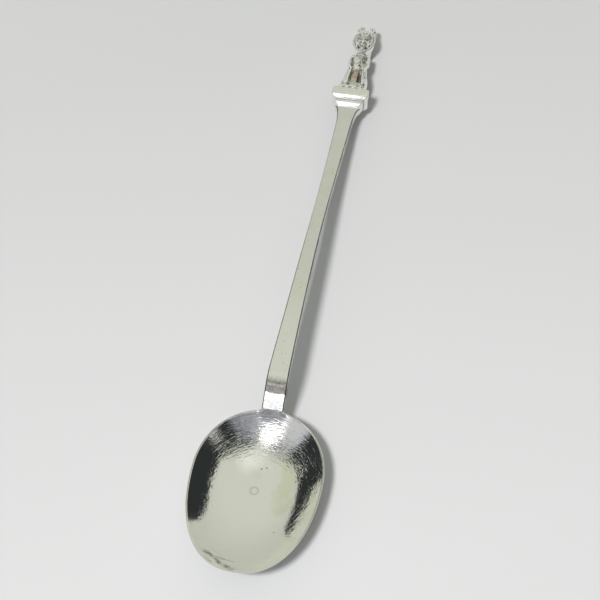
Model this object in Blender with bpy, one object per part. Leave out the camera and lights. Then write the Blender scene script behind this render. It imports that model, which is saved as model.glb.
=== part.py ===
"""Souvenir spoon: an egg-shaped bowl, a flat tapering stem, and a cast finial of two plates
and a small seated beast. Metres, +Z up, +Y from the bowl's tip to the finial.

The spoon lies as it would on a table: it rests on the bowl's bottom and on the back of the
beast's head, both at z = 0. The bowl is sheet, the stem is a flat strap whose tongue laps
under the bowl's heel, and the strap's square tenon passes through both plates into the beast.
"""
import math

import bmesh
import bpy
from mathutils import Matrix, Vector

MM = 0.001

# Bowl
BOWL_LENGTH = 30.5 * MM
BOWL_WIDTH = 22.0 * MM
BOWL_WIDEST_FROM_HEEL = 12.6 * MM
BOWL_SHEET = 0.75 * MM
RIM_HEIGHT_TIP = 6.4 * MM
RIM_HEIGHT_SIDE = 5.5 * MM
RIM_HEIGHT_HEEL = 5.45 * MM
TOE_ROUNDNESS = 2.2
HEEL_ROUNDNESS = 2.08
WALL_STEEPNESS = 1.85
REST_PATCH = 0.14

# Stem
STEM_LENGTH = 68.7 * MM
STEM_NECK_THICKNESS = 2.05 * MM
STEM_END_THICKNESS = 1.55 * MM
STEM_NECK_WIDTH = 3.7 * MM
STEM_WAIST_WIDTH = 2.44 * MM
STEM_FOOT_WIDTH = 3.0 * MM
STEM_FLARE_WIDTH = 4.7 * MM
STEM_CREST_HEIGHT = 9.3 * MM
STEM_END_HEIGHT = 4.5 * MM
STEM_CHAMFER = 0.25 * MM
TONGUE_LENGTH = 5.4 * MM
TONGUE_TIP_WIDTH = 1.2 * MM
TONGUE_TIP_THICKNESS = 0.7 * MM

# Finial
FINIAL_TILT = math.radians(4.0)
COLLAR_WIDTH = 5.3 * MM
COLLAR_THICKNESS = 0.9 * MM
COLLAR_FRONT = 1.05 * MM
COLLAR_BACK = 0.05 * MM
CAPITAL_WIDTH = 7.0 * MM
CAPITAL_THICKNESS = 2.15 * MM
CAPITAL_FRONT = 1.80 * MM
CAPITAL_BACK = 0.15 * MM
PLATE_EDGE = 0.12 * MM
FIGURE_HEIGHT = 18.85 * MM
FIGURE_SKIN_STEP = 0.36 * MM
TENON_SIDE = 0.8 * MM
TENON_DEPTH_IN_FIGURE = 0.8 * MM

# Fits
SEAT_GAP = 0.3 * MM
TENON_CLEARANCE = 0.3 * MM

OVERALL_LENGTH = (BOWL_LENGTH + STEM_LENGTH
                  + (3 * SEAT_GAP + COLLAR_THICKNESS + CAPITAL_THICKNESS + FIGURE_HEIGHT)
                  * math.cos(FINIAL_TILT))
BOWL_HALF = BOWL_WIDTH / 2
TOE_REACH = BOWL_LENGTH - BOWL_WIDEST_FROM_HEEL
HEEL_REACH = BOWL_WIDEST_FROM_HEEL
WIDEST_Y = TOE_REACH - OVERALL_LENGTH / 2
HEEL_Y = WIDEST_Y + HEEL_REACH
STEM_END_Y = HEEL_Y + STEM_LENGTH

SILVER = {"color": (0.80, 0.79, 0.75, 1.0), "roughness": 0.16}
CAST_SILVER = {"color": (0.72, 0.70, 0.65, 1.0), "roughness": 0.30}


def clear_scene():
    for thing in list(bpy.data.objects):
        bpy.data.objects.remove(thing, do_unlink=True)


def metal(name, finish):
    """One Principled metal."""
    material = bpy.data.materials.new(name)
    material.use_nodes = True
    shader = material.node_tree.nodes["Principled BSDF"]
    shader.inputs["Base Color"].default_value = finish["color"]
    shader.inputs["Metallic"].default_value = 1.0
    shader.inputs["Roughness"].default_value = finish["roughness"]
    return material


def solid(name, mesh_builder, finish, parent=None):
    """Turn a bmesh into a named object with outward faces and its own material."""
    bmesh.ops.recalc_face_normals(mesh_builder, faces=mesh_builder.faces)
    mesh = bpy.data.meshes.new(name)
    mesh_builder.to_mesh(mesh)
    mesh_builder.free()
    mesh.materials.append(metal(name + "_metal", finish))
    mesh.shade_smooth()
    mesh.set_sharp_from_angle(angle=math.radians(35))
    thing = bpy.data.objects.new(name, mesh)
    bpy.context.scene.collection.objects.link(thing)
    thing.parent = parent
    return thing


def cutter(name, size, centre, parent=None):
    """A box that only cuts or joins; it is not a piece of the spoon."""
    builder = bmesh.new()
    bmesh.ops.create_cube(builder, size=1.0)
    bmesh.ops.scale(builder, vec=Vector(size), verts=builder.verts)
    bmesh.ops.translate(builder, vec=Vector(centre), verts=builder.verts)
    mesh = bpy.data.meshes.new(name)
    builder.to_mesh(mesh)
    builder.free()
    thing = bpy.data.objects.new(name, mesh)
    bpy.context.scene.collection.objects.link(thing)
    thing.parent = parent
    thing.hide_render = True
    thing.display_type = "WIRE"
    return thing


def boolean(target, tool, operation):
    change = target.modifiers.new(tool.name, "BOOLEAN")
    change.operation = operation
    change.solver = "EXACT"
    change.object = tool
    return change


def smooth_through(points):
    """A function that passes smoothly through (x, value) points."""
    xs = [p[0] for p in points]
    values = [p[1] for p in points]
    last = len(points) - 1
    slopes = []
    for i in range(len(points)):
        before = max(i - 1, 0)
        after = min(i + 1, last)
        slopes.append((values[after] - values[before]) / (xs[after] - xs[before]))

    def value_at(x):
        x = min(max(x, xs[0]), xs[-1])
        i = max(j for j in range(last) if xs[j] <= x)
        step = xs[i + 1] - xs[i]
        t = (x - xs[i]) / step
        return (values[i] * (1 + 2 * t) * (1 - t) ** 2 + values[i + 1] * t * t * (3 - 2 * t)
                + step * slopes[i] * t * (1 - t) ** 2 + step * slopes[i + 1] * t * t * (t - 1))

    return value_at


# ---- bowl -------------------------------------------------------------------------------

def bowl_reach(toward_heel, inset):
    reach = HEEL_REACH if toward_heel else TOE_REACH
    return reach - inset


def rim_point(angle, inset):
    """A point of the egg outline, as an offset from the bowl's widest line."""
    c, s = math.cos(angle), math.sin(angle)
    toward_heel = s > 0
    power = HEEL_ROUNDNESS if toward_heel else TOE_ROUNDNESS
    half = BOWL_HALF - inset
    reach = bowl_reach(toward_heel, inset)
    size = (abs(c / half) ** power + abs(s / reach) ** power) ** (-1 / power)
    return size * c, size * s


def rim_height(along):
    """Height of the rim, where along is -1 at the tip, 0 at the widest line, 1 at the heel."""
    end = RIM_HEIGHT_HEEL if along > 0 else RIM_HEIGHT_TIP
    return RIM_HEIGHT_SIDE + (end - RIM_HEIGHT_SIDE) * along * along


def wall_profile(ring):
    """0 on the flat patch the bowl rests on, 1 at the rim."""
    return max(0.0, (ring - REST_PATCH) / (1 - REST_PATCH)) ** WALL_STEEPNESS


def bowl_underside(x, y):
    """Height of the bowl's outer surface at a place in plan."""
    dy = y - WIDEST_Y
    toward_heel = dy > 0
    power = HEEL_ROUNDNESS if toward_heel else TOE_ROUNDNESS
    reach = bowl_reach(toward_heel, 0.0)
    ring = (abs(x / BOWL_HALF) ** power + abs(dy / reach) ** power) ** (1 / power)
    along = dy / reach / max(ring, 1e-6)
    return rim_height(along) * wall_profile(min(ring, 1.0))


def bowl_ring(builder, ring, inset, floor, sides=72):
    """One ring of vertices on the outer (floor 0) or inner (floor = sheet) surface."""
    verts = []
    for i in range(sides):
        angle = 2 * math.pi * i / sides
        x, dy = rim_point(angle, inset)
        along = dy / bowl_reach(dy > 0, inset)
        top = rim_height(along)
        z = floor + (top - floor) * wall_profile(ring)
        verts.append(builder.verts.new((x * ring, WIDEST_Y + dy * ring, z)))
    return verts


def join_rings(builder, first, second):
    count = len(first)
    for i in range(count):
        j = (i + 1) % count
        builder.faces.new((first[i], first[j], second[j], second[i]))


def make_bowl():
    """Sheet bowl: an outer and an inner egg-shaped dish joined by a flat rim."""
    builder = bmesh.new()
    levels = (REST_PATCH, 0.30, 0.44, 0.56, 0.67, 0.77, 0.86, 0.94, 1.0)
    outer = [bowl_ring(builder, level, 0.0, 0.0) for level in levels]
    inner = [bowl_ring(builder, level, BOWL_SHEET, BOWL_SHEET) for level in levels]
    for shell in (outer, inner):
        for low, high in zip(shell, shell[1:]):
            join_rings(builder, low, high)
        builder.faces.new(shell[0])
    join_rings(builder, outer[-1], inner[-1])
    return solid("bowl", builder, SILVER)


# ---- stem -------------------------------------------------------------------------------

def stem_top_height():
    """Height of the strap's front face from the heel to the flared end."""
    end = STEM_LENGTH
    fall = math.tan(FINIAL_TILT)
    return smooth_through([
        (0.0, RIM_HEIGHT_HEEL + 0.68 * MM),
        (2.2 * MM, RIM_HEIGHT_HEEL + 2.30 * MM),
        (3.8 * MM, STEM_CREST_HEIGHT - 0.57 * MM),
        (5.6 * MM, STEM_CREST_HEIGHT - 0.08 * MM),
        (8.5 * MM, STEM_CREST_HEIGHT),
        (16.5 * MM, STEM_CREST_HEIGHT),
        (26.0 * MM, STEM_CREST_HEIGHT - 0.2 * MM),
        (end - 33.0 * MM, STEM_CREST_HEIGHT - 0.85 * MM),
        (end - 18.0 * MM, STEM_END_HEIGHT + 1.9 * MM),
        (end - 4.0 * MM, STEM_END_HEIGHT + 4.0 * MM * fall),
        (end, STEM_END_HEIGHT),
    ])


def stem_half_width():
    end = STEM_LENGTH
    return smooth_through([
        (0.0, STEM_NECK_WIDTH / 2),
        (5.0 * MM, STEM_NECK_WIDTH / 2 - 0.05 * MM),
        (16.5 * MM, 0.50 * STEM_NECK_WIDTH / 2 + 0.50 * STEM_WAIST_WIDTH / 2),
        (26.0 * MM, 0.22 * STEM_NECK_WIDTH / 2 + 0.78 * STEM_WAIST_WIDTH / 2),
        (end - 33.0 * MM, STEM_WAIST_WIDTH / 2),
        (end - 23.0 * MM, STEM_WAIST_WIDTH / 2),
        (end - 4.0 * MM, STEM_FOOT_WIDTH / 2),
        (end - 1.6 * MM, STEM_FOOT_WIDTH / 2 + 0.22 * MM),
        (end - 0.6 * MM, 0.5 * (STEM_FLARE_WIDTH + STEM_FOOT_WIDTH) / 2 + 0.05 * MM),
        (end, STEM_FLARE_WIDTH / 2),
    ])


def strap_outline(half, top, bottom, chamfer):
    """Cross-section of the strap as (x, z): five points across the front, three on the back."""
    return [(-half + chamfer, top), (-half / 2, top), (0.0, top), (half / 2, top),
            (half - chamfer, top), (half, top - chamfer), (half, bottom + chamfer),
            (half - chamfer, bottom), (0.0, bottom), (-half + chamfer, bottom),
            (-half, bottom + chamfer), (-half, top - chamfer)]


def tongue_section(builder, back):
    """A section under the bowl, back metres in front of the heel; it follows the bowl."""
    share = back / TONGUE_LENGTH
    y = HEEL_Y - back
    half = STEM_NECK_WIDTH / 2 + (TONGUE_TIP_WIDTH - STEM_NECK_WIDTH) / 2 * share ** 1.5
    thickness = STEM_NECK_THICKNESS + (TONGUE_TIP_THICKNESS - STEM_NECK_THICKNESS) * share
    chamfer = min(STEM_CHAMFER, thickness / 3)
    step = 0.1 * MM
    slope = (bowl_underside(0.0, y + step) - bowl_underside(0.0, y - step)) / (2 * step)
    clearance = SEAT_GAP * math.hypot(1.0, slope)     # so that the gap is true across the slope
    middle = bowl_underside(0.0, y) - clearance
    lowest = max(middle - thickness, 0.15 * MM)
    verts = []
    for x, z in strap_outline(half, 0.0, lowest - middle, chamfer):
        surface = middle
        if z > -chamfer * 1.01:
            surface = bowl_underside(x, y) - clearance
        verts.append(builder.verts.new((x, y, surface + z)))
    return verts


def strap_section(builder, along, height, width):
    """A section beyond the heel, square to the strap's front face."""
    step = 0.2 * MM
    y = HEEL_Y + SEAT_GAP + along
    rise = height(along + step) - height(along - step)
    run = min(along + step, STEM_LENGTH) - max(along - step, 0.0)
    slope = math.atan2(rise, run)
    settle = min(1.0, along / (3.0 * MM))
    if along > STEM_LENGTH - 4.0 * MM:
        slope = -FINIAL_TILT
    lean = slope * settle
    thickness = STEM_NECK_THICKNESS + (STEM_END_THICKNESS - STEM_NECK_THICKNESS) * along / STEM_LENGTH
    outline = strap_outline(width(along), 0.0, -thickness, STEM_CHAMFER)
    return [builder.verts.new((x, y - z * math.sin(lean), height(along) + z * math.cos(lean)))
            for x, z in outline]


def make_stem():
    builder = bmesh.new()
    height = stem_top_height()
    width = stem_half_width()
    rings = []
    for back in (1.0, 0.86, 0.70, 0.54, 0.38, 0.24, 0.12, 0.03):
        rings.append(tongue_section(builder, back * TONGUE_LENGTH))
    stations = [0.0, 0.6, 1.4, 2.3, 3.3, 4.4, 5.6, 7.0, 8.8, 11.0]
    stations = [s * MM for s in stations]
    reach = STEM_LENGTH - SEAT_GAP
    stations += [14 * MM + (reach - 20 * MM) * i / 15 for i in range(16)]
    stations += [reach - back * MM for back in (4.0, 2.6, 1.8, 1.2, 0.8, 0.4, 0.0)]
    for along in stations:
        rings.append(strap_section(builder, along, height, width))
    for low, high in zip(rings, rings[1:]):
        join_rings(builder, low, high)
    builder.faces.new(rings[0])
    builder.faces.new(rings[-1])
    stem = solid("stem", builder, SILVER)
    return stem


# ---- finial -----------------------------------------------------------------------------

def finial_axis():
    """An empty at the middle of the stem's end; local +Y runs up the finial."""
    axis = bpy.data.objects.new("finial_axis", None)
    bpy.context.scene.collection.objects.link(axis)
    drop = STEM_END_THICKNESS / 2
    axis.location = (0.0, STEM_END_Y - drop * math.sin(FINIAL_TILT),
                     STEM_END_HEIGHT - drop * math.cos(FINIAL_TILT))
    axis.rotation_euler = (-FINIAL_TILT, 0.0, 0.0)
    return axis


def make_plate(name, width, thickness, front, back, start, axis):
    """A rectangular plate across the finial axis with softened edges and a square tenon hole."""
    high = STEM_END_THICKNESS / 2 + front
    low = -STEM_END_THICKNESS / 2 - back
    builder = bmesh.new()
    bmesh.ops.create_cube(builder, size=1.0)
    bmesh.ops.scale(builder, vec=Vector((width, thickness, high - low)), verts=builder.verts)
    bmesh.ops.translate(builder, vec=Vector((0, start + thickness / 2, (high + low) / 2)),
                        verts=builder.verts)
    edge = min(PLATE_EDGE, thickness / 4)
    bmesh.ops.bevel(builder, geom=builder.edges[:], offset=edge, segments=2,
                    profile=0.5, affect="EDGES")
    plate = solid(name, builder, CAST_SILVER, axis)
    hole = TENON_SIDE + 2 * TENON_CLEARANCE
    boolean(plate, cutter(name + "_tenon_hole", (hole, 3 * thickness, hole),
                          (0, start + thickness / 2, 0), axis), "DIFFERENCE")
    return plate


def add_ball(builder, centre, radii, turn=None):
    """An egg-shaped mass, optionally turned."""
    made = bmesh.ops.create_icosphere(builder, subdivisions=3, radius=1.0)
    place = Matrix.Translation(Vector(centre))
    if turn is not None:
        place = place @ turn
    place = place @ Matrix.Diagonal((*radii, 1.0))
    bmesh.ops.transform(builder, matrix=place, verts=made["verts"])


def add_limb(builder, start, end, start_radius, end_radius):
    """A tapering limb, as a row of overlapping balls."""
    first, last = Vector(start), Vector(end)
    count = 6
    for i in range(count + 1):
        t = i / count
        radius = start_radius + (end_radius - start_radius) * t
        add_ball(builder, first.lerp(last, t), (radius, radius, radius))


def figure_masses(builder):
    """The seated beast in its own millimetres: x across, y up from its seat, z to the front."""
    add_ball(builder, (0, 0.9, 0.60), (2.45, 1.05, 1.70))
    add_ball(builder, (0, 2.4, 0.45), (1.90, 1.9, 1.50))
    add_ball(builder, (0, 6.0, 0.35), (1.55, 4.4, 1.45))
    add_ball(builder, (0, 5.4, -0.15), (2.15, 5.2, 0.95))
    add_ball(builder, (0, 9.4, 0.35), (1.60, 2.0, 1.35))
    add_ball(builder, (0, 14.1, 0.65), (2.0, 3.4, 2.1))
    add_ball(builder, (0, 13.6, -0.75), (1.65, 2.7, 2.05))
    add_ball(builder, (0, 12.1, 2.35), (0.85, 0.95, 0.95))
    for side in (-1, 1):
        add_ball(builder, (1.70 * side, 3.7, 0.55), (0.95, 2.2, 1.45))
        add_limb(builder, (1.25 * side, 5.4, 1.35), (1.20 * side, 1.9, 2.0), 0.75, 0.55)
        add_limb(builder, (1.45 * side, 9.6, 0.55), (0.62 * side, 4.9, 1.75), 0.62, 0.45)
        add_limb(builder, (0.62 * side, 4.9, 1.75), (0.50 * side, 2.2, 1.95), 0.45, 0.50)
        add_ball(builder, (1.90 * side, 14.1, 0.55), (0.42, 2.1, 1.25))
        add_limb(builder, (1.05 * side, 16.2, 0.75), (1.15 * side, 18.7, 0.85), 0.75, 0.40)


def make_figure(start, axis):
    """The cast beast, from its seat up, closed into one skin."""
    builder = bmesh.new()
    figure_masses(builder)
    bmesh.ops.scale(builder, vec=Vector((MM, MM, MM)), verts=builder.verts)
    lengthen = FIGURE_HEIGHT / max(v.co.y for v in builder.verts)
    for vert in builder.verts:
        vert.co.y = start + vert.co.y * lengthen
    figure = solid("figure", builder, CAST_SILVER, axis)
    skin = figure.modifiers.new("one_skin", "REMESH")
    skin.mode = "VOXEL"
    skin.voxel_size = FIGURE_SKIN_STEP
    skin.use_smooth_shade = True
    depth = CAPITAL_WIDTH
    boolean(figure, cutter("figure_seat_cut", (2 * depth, depth, 2 * depth),
                           (0, start - depth / 2, 0), axis), "DIFFERENCE")
    hole = TENON_SIDE + 2 * TENON_CLEARANCE
    reach = TENON_DEPTH_IN_FIGURE + TENON_CLEARANCE
    boolean(figure, cutter("figure_tenon_socket", (hole, 2 * reach, hole),
                           (0, start, 0), axis), "DIFFERENCE")
    boolean(figure, cutter("table_cut", (4 * depth, 4 * depth, depth),
                           (0, OVERALL_LENGTH / 2 - depth, -depth / 2)), "DIFFERENCE")
    return figure


def add_tenon(stem, length, axis):
    """The strap's square tenon, rooted well inside the strap."""
    root = 2.0 * MM
    boolean(stem, cutter("stem_tenon", (TENON_SIDE, length + root, TENON_SIDE),
                         (0, (length - root) / 2, 0), axis), "UNION")


def build_spoon():
    clear_scene()
    make_bowl()
    stem = make_stem()
    axis = finial_axis()
    collar_start = SEAT_GAP
    capital_start = collar_start + COLLAR_THICKNESS + SEAT_GAP
    figure_start = capital_start + CAPITAL_THICKNESS + SEAT_GAP
    make_plate("collar_plate", COLLAR_WIDTH, COLLAR_THICKNESS, COLLAR_FRONT, COLLAR_BACK,
               collar_start, axis)
    make_plate("capital_plate", CAPITAL_WIDTH, CAPITAL_THICKNESS, CAPITAL_FRONT, CAPITAL_BACK,
               capital_start, axis)
    make_figure(figure_start, axis)
    add_tenon(stem, figure_start + TENON_DEPTH_IN_FIGURE, axis)


build_spoon()
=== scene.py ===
import math
import bmesh
import bpy
import numpy as np
from mathutils import Matrix, Vector


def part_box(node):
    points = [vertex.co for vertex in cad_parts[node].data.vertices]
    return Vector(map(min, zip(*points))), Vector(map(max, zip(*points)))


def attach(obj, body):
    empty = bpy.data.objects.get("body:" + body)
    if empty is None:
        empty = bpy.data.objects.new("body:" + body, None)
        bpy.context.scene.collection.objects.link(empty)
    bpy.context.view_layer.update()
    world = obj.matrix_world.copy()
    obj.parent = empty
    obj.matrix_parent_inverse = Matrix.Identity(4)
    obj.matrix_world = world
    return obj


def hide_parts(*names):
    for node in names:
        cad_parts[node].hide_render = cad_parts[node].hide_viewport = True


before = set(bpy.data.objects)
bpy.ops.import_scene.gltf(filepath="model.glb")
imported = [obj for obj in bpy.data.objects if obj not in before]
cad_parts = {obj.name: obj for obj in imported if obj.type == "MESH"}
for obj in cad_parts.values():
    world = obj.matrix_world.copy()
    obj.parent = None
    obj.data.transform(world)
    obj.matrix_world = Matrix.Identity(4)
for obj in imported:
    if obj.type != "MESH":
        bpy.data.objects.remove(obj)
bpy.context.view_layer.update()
mm = 0.001
print("frame loaded:", sorted(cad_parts))

bowlLow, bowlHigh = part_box("bowl")
collarLow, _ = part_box("collar_plate")
_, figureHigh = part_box("figure")

# lengths in metres; the creases are millimetres from the middle of the widest line
bowl = dict(
    widestFromHeel=12.6 * mm, toeRoundness=2.2, heelRoundness=2.08, rimSide=5.5 * mm,
    rimHeel=5.45 * mm, wall=1.85, restPatch=0.14, sheet=0.75 * mm, lip=0.16 * mm,
    lipRound=0.075 * mm, lipTurns=5, tab=0.5 * mm, tabHalf=2.05 * mm, tabEdge=6, tabFade=24,
    sides=300, rings=104, ringCrowding=0.8,
    creases=[([(-5.5, -14.5), (-4.2, -15.0), (-3.2, -15.8), (-2.5, -16.4), (-1.4, -16.8),
               (-0.2, -17.1)], 0.38, 0.14),
             ([(-4.2, -14.9), (-3.1, -15.1), (-1.8, -15.3), (-0.5, -15.45)], 0.20, 0.08)])

heelY = bowlHigh.y
widestY = bowlHigh.y - bowl["widestFromHeel"]
halfBowl = bowlHigh.x
toeReach = widestY - bowlLow.y


def smoothThrough(points):
    # passes smoothly through (x, value) points
    last = len(points) - 1
    slopes = []
    for i in range(last + 1):
        a, b = points[max(i - 1, 0)], points[min(i + 1, last)]
        slopes.append((b[1] - a[1]) / (b[0] - a[0]))

    def valueAt(x):
        x = min(max(x, points[0][0]), points[-1][0])
        i = max(j for j in range(last) if points[j][0] <= x)
        step = points[i + 1][0] - points[i][0]
        t = (x - points[i][0]) / step
        return (points[i][1] * (1 + 2 * t) * (1 - t) ** 2 + points[i + 1][1] * t * t * (3 - 2 * t)
                + step * slopes[i] * t * (1 - t) ** 2 + step * slopes[i + 1] * t * t * (t - 1))
    return valueAt


def meshObject(name, vertices, faces, material, sharpAngle=None):
    mesh = bpy.data.meshes.new(name)
    mesh.from_pydata(vertices, [], faces)
    mesh.validate()
    piece = bpy.data.objects.new(name, mesh)
    bpy.context.scene.collection.objects.link(piece)
    tidyNormals(mesh)
    mesh.materials.append(material)
    mesh.shade_smooth()
    if sharpAngle is not None:
        mesh.set_sharp_from_angle(angle=math.radians(sharpAngle))
    return piece


def tidyNormals(mesh):
    builder = bmesh.new()
    builder.from_mesh(mesh)
    bmesh.ops.remove_doubles(builder, verts=builder.verts, dist=1e-7)
    bmesh.ops.recalc_face_normals(builder, faces=builder.faces)
    builder.to_mesh(mesh)
    builder.free()


def addValues(mesh, name, values):
    layer = mesh.attributes.new(name, "FLOAT", "POINT")
    layer.data.foreach_set("value", np.clip(values, 0, 1).astype(np.float32))


def bakeModifiers(piece):
    # turns the evaluated shape into the piece's own plain mesh
    graph = bpy.context.evaluated_depsgraph_get()
    shape = bpy.data.meshes.new_from_object(piece.evaluated_get(graph))
    piece.modifiers.clear()
    piece.data = shape
    return piece


def bridgeRows(rows, count):
    # faces between rows of points that each close on themselves
    faces = []
    for row in range(rows - 1):
        first, second = row * count, (row + 1) * count
        for i in range(count):
            j = (i + 1) % count
            faces.append((first + i, first + j, second + j, second + i))
    return faces


def closedTube(rows, count):
    ends = [tuple(range(count)), tuple(range((rows - 1) * count, rows * count))]
    return bridgeRows(rows, count) + ends


class Wiring:
    # adds maths and texture nodes to a tree in few words
    def __init__(self, tree):
        self.tree = tree

    def plug(self, socket, value):
        if isinstance(value, bpy.types.NodeSocket):
            self.tree.links.new(value, socket)
        else:
            socket.default_value = value

    def node(self, kind, **settings):
        made = self.tree.nodes.new(kind)
        for key, value in settings.items():
            setattr(made, key, value)
        return made

    def calc(self, operation, a, b=0.0, c=0.0):
        made = self.node("ShaderNodeMath", operation=operation)
        for socket, value in zip(made.inputs, (a, b, c)):
            self.plug(socket, value)
        return made.outputs[0]

    def vector(self, operation, a, b=(0, 0, 0)):
        made = self.node("ShaderNodeVectorMath", operation=operation)
        self.plug(made.inputs[0], a)
        self.plug(made.inputs["Scale" if operation == "SCALE" else 1], b)
        return made.outputs["Value" if operation in ("LENGTH", "DISTANCE") else "Vector"]

    def ramp(self, value, low, high, toLow=0.0, toHigh=1.0):
        made = self.node("ShaderNodeMapRange", interpolation_type="SMOOTHSTEP")
        for socket, item in zip(made.inputs, (value, low, high, toLow, toHigh)):
            self.plug(socket, item)
        return made.outputs[0]

    def mix(self, share, a, b):
        made = self.node("ShaderNodeMix", data_type="RGBA")
        self.plug(made.inputs["Factor"], share)
        self.plug(made.inputs[6], a)
        self.plug(made.inputs[7], b)
        return made.outputs[2]

    def noise(self, place, scale, detail=2.0, rough=0.5, distortion=0.0):
        made = self.node("ShaderNodeTexNoise")
        self.plug(made.inputs["Vector"], place)
        self.plug(made.inputs["Scale"], scale)
        self.plug(made.inputs["Detail"], detail)
        self.plug(made.inputs["Roughness"], rough)
        self.plug(made.inputs["Distortion"], distortion)
        return made.outputs["Fac"]

    def drift(self, place, scale, detail, rough, reach):
        # noise that wanders to either side of nought
        wander = self.calc("SUBTRACT", self.noise(place, scale, detail, rough), 0.5)
        return self.calc("MULTIPLY", wander, reach)

    def split(self, place):
        made = self.node("ShaderNodeSeparateXYZ")
        self.plug(made.inputs[0], place)
        return made.outputs[0], made.outputs[1], made.outputs[2]

    def combine(self, x, y, z):
        made = self.node("ShaderNodeCombineXYZ")
        for socket, value in zip(made.inputs, (x, y, z)):
            self.plug(socket, value)
        return made.outputs[0]


def newGroup(name, inputs, outputs):
    tree = bpy.data.node_groups.new(name, "ShaderNodeTree")
    for label, kind, value in inputs:
        socket = tree.interface.new_socket(label, in_out="INPUT", socket_type=kind)
        if value is not None:
            socket.default_value = value
    for label, kind in outputs:
        tree.interface.new_socket(label, in_out="OUTPUT", socket_type=kind)
    start = tree.nodes.new("NodeGroupInput")
    end = tree.nodes.new("NodeGroupOutput")
    return tree, Wiring(tree), start, end


hairLines = dict(leans=(0.0, 1.1, 2.3), shift=(0.013, 0.007, 0.003), breadth=0.02)


def hairScratchGroup():
    # long fine lines in three crossing directions
    tree, wire, start, end = newGroup("hairScratches", [
        ("Vector", "NodeSocketVector", None), ("Scale", "NodeSocketFloat", 900.0),
        ("Stretch", "NodeSocketFloat", 14.0), ("Turn", "NodeSocketFloat", 0.4),
        ("Waver", "NodeSocketFloat", 0.6)],
        [("Height", "NodeSocketFloat")])
    layers = []
    for index, lean in enumerate(hairLines["leans"]):
        turn = wire.node("ShaderNodeVectorRotate", rotation_type="Z_AXIS")
        wire.plug(turn.inputs["Vector"], start.outputs["Vector"])
        wire.plug(turn.inputs["Angle"], wire.calc("ADD", start.outputs["Turn"], lean))
        x, y, z = wire.split(turn.outputs[0])
        squeezed = wire.combine(wire.calc("DIVIDE", x, start.outputs["Stretch"]), y, z)
        moved = wire.vector("ADD", squeezed, tuple(index * part for part in hairLines["shift"]))
        lines = wire.noise(moved, start.outputs["Scale"], 3.0, 0.6, start.outputs["Waver"])
        layers.append(wire.calc("ABSOLUTE", wire.calc("SUBTRACT", lines, 0.5)))
    closest = wire.calc("MINIMUM", wire.calc("MINIMUM", layers[0], layers[1]), layers[2])
    mask = wire.ramp(closest, 0.0, hairLines["breadth"], 1.0, 0.0)
    wire.plug(end.inputs["Height"], wire.calc("MULTIPLY", mask, -1.0))
    return tree


rubbing = dict(grainScale=5200.0, grainShare=0.25, glossAt=(0.35, 0.85), tarnishAt=(0.45, 0.75))


def handlingGroup():
    # soft unevenness of rubbed metal: broad dents, smudged gloss and a little warm tarnish
    tree, wire, start, end = newGroup("handlingWear", [
        ("Vector", "NodeSocketVector", None), ("Dent Scale", "NodeSocketFloat", 260.0),
        ("Smudge Scale", "NodeSocketFloat", 140.0), ("Gloss Low", "NodeSocketFloat", 0.06),
        ("Gloss High", "NodeSocketFloat", 0.2)],
        [("Height", "NodeSocketFloat"), ("Roughness", "NodeSocketFloat"),
         ("Tarnish", "NodeSocketFloat")])
    dents = wire.noise(start.outputs["Vector"], start.outputs["Dent Scale"], 2.0, 0.5, 0.3)
    smudge = wire.noise(start.outputs["Vector"], start.outputs["Smudge Scale"], 4.0, 0.6, 0.8)
    grain = wire.noise(start.outputs["Vector"], rubbing["grainScale"], 2.0, 0.6)
    patchy = wire.calc("ADD", smudge, wire.calc("MULTIPLY", grain, rubbing["grainShare"]))
    gloss = wire.ramp(patchy, *rubbing["glossAt"], start.outputs["Gloss Low"],
                      start.outputs["Gloss High"])
    wire.plug(end.inputs["Height"], dents)
    wire.plug(end.inputs["Roughness"], gloss)
    wire.plug(end.inputs["Tarnish"], wire.ramp(smudge, *rubbing["tarnishAt"]))
    return tree


hairScratches = hairScratchGroup()
handlingWear = handlingGroup()


def startMaterial(name):
    material = bpy.data.materials.new(name)
    material.use_nodes = True
    wire = Wiring(material.node_tree)
    shader = material.node_tree.nodes["Principled BSDF"]
    shader.inputs["Metallic"].default_value = 1.0
    place = wire.node("ShaderNodeTexCoord").outputs["Object"]
    return material, wire, shader, place


def groupNode(wire, tree, **values):
    made = wire.node("ShaderNodeGroup")
    made.node_tree = tree
    for label, value in values.items():
        wire.plug(made.inputs[label.replace("_", " ")], value)
    return made


def bumpFrom(wire, height, distance, normal=None):
    made = wire.node("ShaderNodeBump")
    made.inputs["Strength"].default_value = 1.0
    made.inputs["Distance"].default_value = distance
    wire.plug(made.inputs["Height"], height)
    if normal is not None:
        wire.plug(made.inputs["Normal"], normal)
    return made.outputs[0]


silver = dict(bright=(0.93, 0.93, 0.90, 1), warm=(0.86, 0.85, 0.74, 1), dark=(0.10, 0.09, 0.08, 1),
              brown=(0.50, 0.40, 0.33, 1))


def tarnished(wire, wear, share):
    return wire.mix(wire.calc("MULTIPLY", wear.outputs["Tarnish"], share), silver["bright"],
                    silver["warm"])


# distances along the stem are metres from the bowl's heel
stemWear = dict(tarnish=0.35, speckScale=2600.0, speckAt=(0.70, 0.76), speckShare=0.35,
                tonedAlong=(0.0085, 0.0305), toned=0.13, neckReflectionScale=2200.0, neckReflectionDrift=0.0009,
                neckReflectionStart=(0.00195, 0.0022), neckReflectionEnd=(0.0050, 0.0030), neckReflection=0.9,
                neckAlong=(0.0045, 0.007), neckGloss=0.35, dentDepth=0.000012,
                lineDepth=0.000002)


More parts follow.
